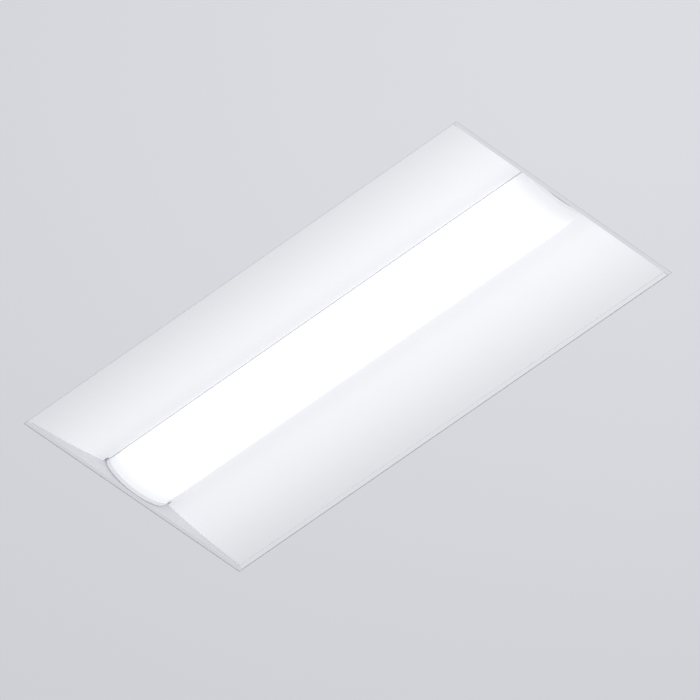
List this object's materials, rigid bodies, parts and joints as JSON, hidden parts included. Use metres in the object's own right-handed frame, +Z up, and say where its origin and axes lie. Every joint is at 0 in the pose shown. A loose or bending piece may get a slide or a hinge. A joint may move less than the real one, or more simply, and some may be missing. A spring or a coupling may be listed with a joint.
{
  "type": "recessed troffer light",
  "caption": "Lay-in recessed ceiling light with two curved white side reflectors and a half-round opal lens door down the middle, hinged for service.",
  "frame": {"origin": "centre of the housing, on the underside of the flange that lies on the ceiling grid", "axes": "+Z up into the ceiling, +X along the lens from the far end to the near end, +Y from the left reflector (catch side) to the right reflector (hinge side)"},
  "size_m": [1.2128, 0.6032, 0.0869],
  "materials": {
    "white_paint": "matt white powder coat",
    "galvanised_steel": "galvanised sheet",
    "tray_paint": "white coated tray",
    "opal_acrylic": "opal extruded acrylic, lit",
    "white_plastic": "moulded white plastic",
    "rail_aluminium": "mill finish extrusion",
    "zinc_plate": "zinc plated steel",
    "spring_steel": "bright spring steel",
    "white_nylon": "natural nylon",
    "circuit_board": "white solder mask",
    "led_phosphor": "yellow phosphor in white package",
    "driver_case": "painted steel case",
    "terminal_plastic": "grey plastic",
    "plug_plastic": "orange plastic",
    "red_wire": "PVC insulation",
    "black_wire": "PVC insulation",
    "white_wire": "PVC insulation",
    "green_wire": "PVC insulation",
    "green_screw": "green dyed zinc",
    "black_rubber": "moulded rubber"
  },
  "bodies": {
    "housing": {"side_reflector_left": "white_paint", "side_reflector_right": "white_paint", "end_plate_far": "white_paint", "end_plate_near": "white_paint", "center_channel": "galvanised_steel", "led_tray": "tray_paint", "led_board_1": "circuit_board", "led_board_2": "circuit_board", "led_board_3": "circuit_board", "led_board_4": "circuit_board", "led_chips": "led_phosphor", "board_connectors": "white_nylon", "board_jumper_wires": "white_wire", "board_screws": "zinc_plate", "led_driver": "driver_case", "driver_terminal_blocks": "terminal_plastic", "driver_screws": "zinc_plate", "output_lead_red": "red_wire", "output_lead_black": "black_wire", "supply_lead_black": "black_wire", "supply_lead_white": "white_wire", "ground_lead_green": "green_wire", "ground_screw": "green_screw", "lead_grommet": "black_rubber", "disconnect_plug": "plug_plastic", "tray_screws": "zinc_plate", "end_plate_screws": "zinc_plate", "channel_rivets": "zinc_plate", "pivot_bushes": "white_nylon", "catch_springs": "spring_steel", "catch_spring_rivets": "zinc_plate", "access_plate_rivet": "zinc_plate", "access_plate_screw": "zinc_plate", "clip_rivets": "zinc_plate"},
    "lens_door": {"diffuser_lens": "opal_acrylic", "lens_end_cap_far": "white_plastic", "lens_end_cap_near": "white_plastic", "lens_rail_left": "rail_aluminium", "lens_rail_right": "rail_aluminium", "lens_cap_screws": "zinc_plate", "pivot_pins": "zinc_plate", "catch_tongues": "zinc_plate", "tongue_rivets": "zinc_plate"},
    "access_plate": {"access_plate": "galvanised_steel"},
    "grid_clip_near_right": {"grid_clip_near_right": "zinc_plate"},
    "grid_clip_near_left": {"grid_clip_near_left": "zinc_plate"},
    "grid_clip_far_right": {"grid_clip_far_right": "zinc_plate"},
    "grid_clip_far_left": {"grid_clip_far_left": "zinc_plate"}
  },
  "joints": [
    {"name": "lens_door_hinge", "type": "hinge", "parent": "housing", "child": "lens_door", "pos_m": [0, 0.082, 0.036], "axis": [1, 0, 0], "range_deg": [0, 80]},
    {"name": "access_plate_swing", "type": "hinge", "parent": "housing", "child": "access_plate", "pos_m": [-0.458, -0.042, 0.08465], "axis": [0, 0, -1], "range_deg": [0, 95]},
    {"name": "grid_clip_near_right_swing", "type": "hinge", "parent": "housing", "child": "grid_clip_near_right", "pos_m": [0.6019, 0.19, 0.0469], "axis": [0, 0, 1], "range_deg": [0, 90]},
    {"name": "grid_clip_near_left_swing", "type": "hinge", "parent": "housing", "child": "grid_clip_near_left", "pos_m": [0.6019, -0.19, 0.0469], "axis": [0, 0, -1], "range_deg": [0, 90]},
    {"name": "grid_clip_far_right_swing", "type": "hinge", "parent": "housing", "child": "grid_clip_far_right", "pos_m": [-0.6019, 0.19, 0.0469], "axis": [0, 0, -1], "range_deg": [0, 90]},
    {"name": "grid_clip_far_left_swing", "type": "hinge", "parent": "housing", "child": "grid_clip_far_left", "pos_m": [-0.6019, -0.19, 0.0469], "axis": [0, 0, 1], "range_deg": [0, 90]}
  ]
}
